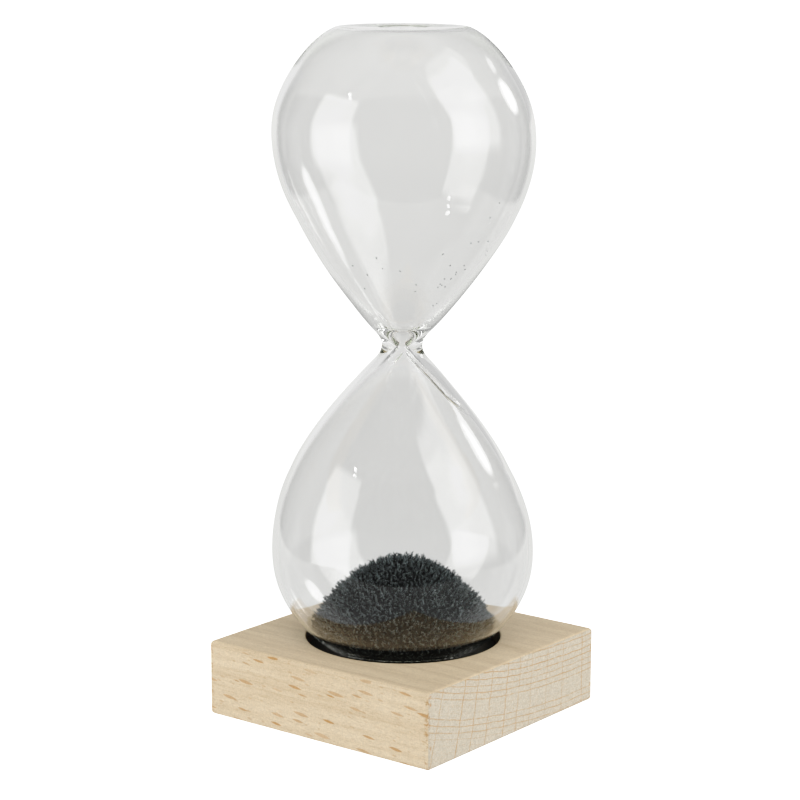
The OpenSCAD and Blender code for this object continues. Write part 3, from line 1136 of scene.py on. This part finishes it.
floor = stage_plane("floor", 30, -0.00002, floor_material())
floor.visible_glossy = False
floor.visible_transmission = False
table = stage_plane("table", 30, -0.00006, table_material())
table.visible_camera = False
table.visible_diffuse = False
table.visible_shadow = False


def panel(g, direction, facing, u_lo, u_hi, v_lo, v_hi, soft=0.05, low_soft=None, high_soft=None):
    """A rectangular light seen in a direction: 1 inside it. facing is its azimuth from the camera's side, to the right; u and v are tangents."""
    a = math.radians(facing)
    normal = CAM_BACK * math.cos(a) + CAM_RIGHT * math.sin(a)
    across = CAM_RIGHT * math.cos(a) - CAM_BACK * math.sin(a)
    depth = g.dot(direction, normal)
    ahead = g.ramp(depth, 0.02, 0.06)
    depth = g.m("MAXIMUM", depth, 0.02)
    u = g.div(g.dot(direction, across), depth)
    v = g.div(g.dot(direction, (0, 0, 1)), depth)
    return g.mul(ahead, g.mul(g.band(u, u_lo, u_hi, soft), g.band(v, v_lo, v_hi, low_soft or soft, high_soft or soft)))


def spot(g, azimuth, elevation, az, el, half_az, half_el, soft):
    """A round light at (az, el) with the given half sizes in degrees: 1 inside, 0 outside, over the share soft of its radius."""
    x = g.div(g.sub(azimuth, az), half_az)
    y = g.div(g.sub(elevation, el), half_el)
    r = g.m("SQRT", g.add(g.mul(x, x), g.mul(y, y)))
    return g.ramp(r, 1 + soft, max(1 - soft, 0.0))


def make_world():
    world = bpy.data.worlds.new("studio")
    bpy.context.scene.world = world
    world.use_nodes = True
    tree = world.node_tree
    tree.nodes.clear()
    g = Graph(tree)
    out = g.new("ShaderNodeOutputWorld")
    d = g.new("ShaderNodeTexCoord").outputs["Generated"]
    seen = g.new("ShaderNodeLightPath").outputs["Is Camera Ray"]
    toward_camera = g.dot(d, CAM_BACK)
    to_right = g.dot(d, CAM_RIGHT)
    up = g.dot(d, (0, 0, 1))
    azimuth = g.mul(g.m("ARCTAN2", to_right, toward_camera), 180 / math.pi)
    away = g.m("ABSOLUTE", azimuth)
    elevation = g.mul(g.m("ARCSINE", up), 180 / math.pi)
    # Pale paper behind, dim sides, a dark room in front, a dim ceiling
    front = g.mul(g.ramp(away, 104, 96), g.ramp(elevation, 45, 39))
    right_wall = g.add(g.ramp(away, 140, 150, 0.30, 0.62), g.ramp(away, 172, 179, 0.0, PAPER_FAR - 0.62))
    walls = g.mixf(g.ramp(azimuth, -20, 20), g.ramp(away, 140, 150, 0.30, PAPER_FAR), right_wall)
    ceiling = g.ramp(elevation, 52, 72, 0.27, 0.48)
    room = g.mixf(g.ramp(elevation, 30, 50), walls, ceiling)
    room = g.mixf(front, room, 0.14)
    # The left softbox, brightest in its middle
    left = panel(g, d, -56, -0.61, 0.158, -0.36, 0.775, 0.06, 0.34, 0.13)
    left = g.mul(left, g.add(1.75, g.mul(spot(g, azimuth, elevation, -68, 4, 14, 22, 0.9), 0.5)))
    # The right softbox leans back, so its near edge spreads with height
    lean = g.mul(g.m("MAXIMUM", g.sub(elevation, 22.0), 0.0), 0.27)
    near_edge = g.sub(45.0, lean)
    far_edge = g.add(92.5, g.mul(elevation, 0.09))
    box = g.mul(g.ramp(g.sub(azimuth, near_edge), -3.0, 3.0), g.ramp(g.sub(azimuth, far_edge), 2.5, -2.5))
    right = g.mul(box, g.band(elevation, -4.0, 49.5, 12.0, 4.0))
    hem = g.mul(box, g.band(elevation, 47.0, 58.5, 4.0, 7.0))
    inner = g.ramp(azimuth, 58, 80, 2.25, 1.5)
    inner = g.add(inner, g.mul(spot(g, azimuth, elevation, 76, 34, 11, 8, 0.8), 1.2))
    right = g.mul(right, inner)
    lamp = g.add(spot(g, azimuth, elevation, -61, 41, 1.3, 0.9, 0.3), g.mul(spot(g, azimuth, elevation, -58.5, 38.5, 1.0, 0.7, 0.3), 0.8))
    faint = spot(g, azimuth, elevation, 29.5, 16, 1.6, 4.5, 0.7)
    light = g.add(room, left)
    light = g.add(light, g.m("MAXIMUM", right, g.mul(hem, 1.6)))
    light = g.add(light, g.mul(lamp, 22.0))
    light = g.add(light, g.mul(faint, 0.22))
    light = g.mixf(g.mul(straight_through(g), g.ramp(away, 179.9, 179)), light, PAPER_FAR)
    strength = g.mixf(seen, light, 1.6)
    back = g.new("ShaderNodeBackground", {"Color": (1, 1, 1, 1), "Strength": strength})
    g.put(out.inputs["Surface"], back.outputs[0])
    world.cycles.sampling_method = "MANUAL"
    world.cycles.sample_map_resolution = 1024


make_world()


def strip_light(azimuth, height, distance, half_wide, half_high, strength):
    """A small oval light beside the object, near enough that each bulb mirrors it at its own height."""
    mat, g, out = blank("strip_light")
    place = g.new("ShaderNodeTexCoord").outputs["Object"]
    x, y, _ = g.xyz(place)
    x, y = g.div(x, half_wide), g.div(y, half_high)
    r = g.m("SQRT", g.add(g.mul(x, x), g.mul(y, y)))
    inside_it = g.mul(g.ramp(r, 1.0, 0.55), g.sub(1.0, straight_through(g)))
    glow = g.new("ShaderNodeEmission", {"Color": (1, 1, 1, 1), "Strength": strength})
    clear = g.new("ShaderNodeBsdfTransparent")
    mix = g.new("ShaderNodeMixShader", {0: inside_it})
    g.put(mix.inputs[1], clear.outputs[0])
    g.put(mix.inputs[2], glow.outputs[0])
    g.put(out.inputs["Surface"], mix.outputs[0])
    mesh = bpy.data.meshes.new("strip_light")
    w, h = half_wide * 1.02, half_high * 1.02
    mesh.from_pydata([(-w, -h, 0), (w, -h, 0), (w, h, 0), (-w, h, 0)], [], [(0, 1, 2, 3)])
    mesh.update()
    mesh.materials.append(mat)
    obj = bpy.data.objects.new("strip_light", mesh)
    bpy.context.scene.collection.objects.link(obj)
    a = math.radians(azimuth)
    way = CAM_BACK * math.cos(a) + CAM_RIGHT * math.sin(a)
    obj.location = way * distance + Vector((0, 0, height))
    obj.rotation_mode = "QUATERNION"
    obj.rotation_quaternion = way.to_track_quat("Z", "Y")
    obj.visible_camera = obj.visible_diffuse = obj.visible_shadow = False
    return obj


strip_light(121.0, 0.458, 0.93, 0.135, 0.19, 5.0)


def soft_lamp(name, azimuth, elevation, distance, size, power, colour=(1, 1, 1)):
    """A large soft lamp that lights wood and iron, and is left out of reflections in the glass."""
    data = bpy.data.lights.new(name, "AREA")
    data.shape, data.size, data.size_y = "RECTANGLE", size[0], size[1]
    data.energy, data.color = power, colour
    lamp = bpy.data.objects.new(name, data)
    bpy.context.scene.collection.objects.link(lamp)
    a, e = math.radians(azimuth), math.radians(elevation)
    way = (CAM_BACK * math.cos(a) + CAM_RIGHT * math.sin(a)) * math.cos(e) + Vector((0, 0, math.sin(e)))
    target = Vector((0, 0, 0.03))
    lamp.location = target + way * distance
    lamp.rotation_mode = "QUATERNION"
    lamp.rotation_quaternion = way.to_track_quat("Z", "Y")
    lamp.visible_camera = False
    lamp.visible_glossy = False
    lamp.visible_transmission = False
    return lamp


soft_lamp("left_softbox", -60, 22, 0.9, (0.6, 0.8), 4.0)
soft_lamp("right_softbox", 62, 24, 0.9, (0.6, 0.8), 4.0)

scene = bpy.context.scene
scene.view_settings.view_transform = "Standard"
scene.view_settings.look = "None"
scene.view_settings.exposure = 0
scene.view_settings.gamma = 1
# Dark tones fall off to black and bright ones run softly into white, as on film
scene.view_settings.use_curve_mapping = True
tones = scene.view_settings.curve_mapping
tones.use_clip = False
tones.extend = "EXTRAPOLATED"
curve = tones.curves[3]
curve.points[0].location = (0.0, 0.0)
curve.points[1].location = (1.0, 0.91)
for spot_at in ((0.02, 0.007), (0.045, 0.023), (0.07, 0.044), (0.12, 0.100), (0.22, 0.213), (0.30, 0.30), (0.85, 0.85)):
    curve.points.new(*spot_at)
for point in curve.points:
    point.handle_type = "VECTOR"
tones.update()
scene.cycles.max_bounces = 160
scene.cycles.transmission_bounces = 160
scene.cycles.glossy_bounces = 160
scene.cycles.diffuse_bounces = 3
scene.cycles.transparent_max_bounces = 16
